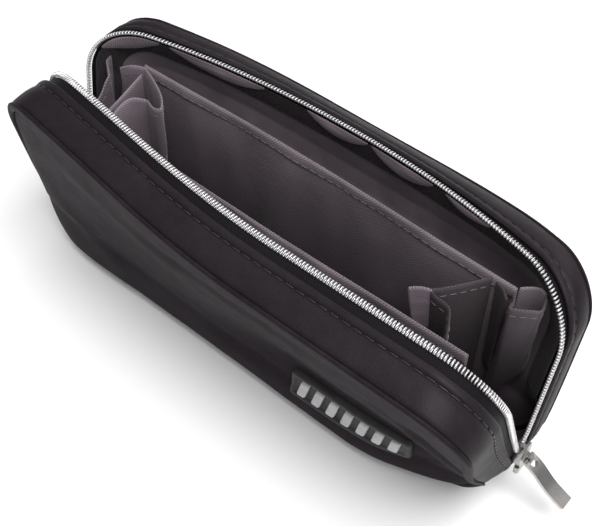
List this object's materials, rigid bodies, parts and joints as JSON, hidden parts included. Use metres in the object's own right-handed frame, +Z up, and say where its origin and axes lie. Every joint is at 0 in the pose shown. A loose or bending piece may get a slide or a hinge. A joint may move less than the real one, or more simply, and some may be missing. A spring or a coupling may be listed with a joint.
{
  "type": "pencil case",
  "caption": "Boxy soft zip pencil case standing open, with leather shell, silver coil zip, bar puller and a divided cloth inside.",
  "frame": {"origin": "on the resting surface, under the middle of the bottom panel", "axes": "+X along the case towards the slider end, +Y towards the back wall, +Z up"},
  "size_m": [0.2276, 0.0976, 0.0872],
  "materials": {
    "leather_black": "fine pebble grain, semi-matt coated leather",
    "lining_grey": "plain woven polyester, slight sheen",
    "zip_tape_black": "ribbed woven zip tape, matt",
    "zip_coil_silver": "nylon coil with bright silver metallised finish",
    "slider_metal": "satin nickel plated die casting",
    "badge_rubber": "matt moulded rubber",
    "badge_marks_grey": "satin light grey moulded rubber"
  },
  "bodies": {
    "base": {"bottom_gusset": "leather_black", "bottom_lining": "lining_grey", "front_face_lower": "leather_black", "back_face_lower": "leather_black", "front_welt_lower": "leather_black", "back_welt_lower": "leather_black", "front_divider": "lining_grey", "back_divider": "lining_grey", "left_gusset": "lining_grey", "right_gusset": "lining_grey", "left_end_pleat": "lining_grey", "right_end_pleat": "lining_grey", "left_zip_stop": "slider_metal", "right_zip_stop": "slider_metal"},
    "front_wall": {"front_face_upper": "leather_black", "front_gusset_band": "leather_black", "front_seam_welt": "leather_black", "front_zip_tape": "zip_tape_black", "front_zip_coil": "zip_coil_silver", "front_lining": "lining_grey", "badge_base": "badge_rubber", "badge_marks": "badge_marks_grey"},
    "back_wall": {"back_face_upper": "leather_black", "back_gusset_band": "leather_black", "back_seam_welt": "leather_black", "back_zip_tape": "zip_tape_black", "back_zip_coil": "zip_coil_silver", "back_lining": "lining_grey"},
    "slider": {"slider_body": "slider_metal", "slider_bridge": "slider_metal"},
    "pull_tab": {"pull_tab": "slider_metal"}
  },
  "joints": [
    {"name": "front_wall_fold", "type": "hinge", "parent": "base", "child": "front_wall", "pos_m": [0, 0, 0.026], "axis": [1, 0, 0], "range_deg": [-20, 6]},
    {"name": "back_wall_fold", "type": "hinge", "parent": "base", "child": "back_wall", "pos_m": [0, 0, 0.026], "axis": [-1, 0, 0], "range_deg": [-34, 6]},
    {"name": "slider_travel", "type": "slide", "parent": "base", "child": "slider", "axis": [0, 0, 1], "range_m": [0, 0.006]},
    {"name": "pull_tab_swing", "type": "hinge", "parent": "slider", "child": "pull_tab", "pos_m": [0.10615, 0, 0.0253], "axis": [0, 1, 0], "range_deg": [-120, 50]}
  ]
}
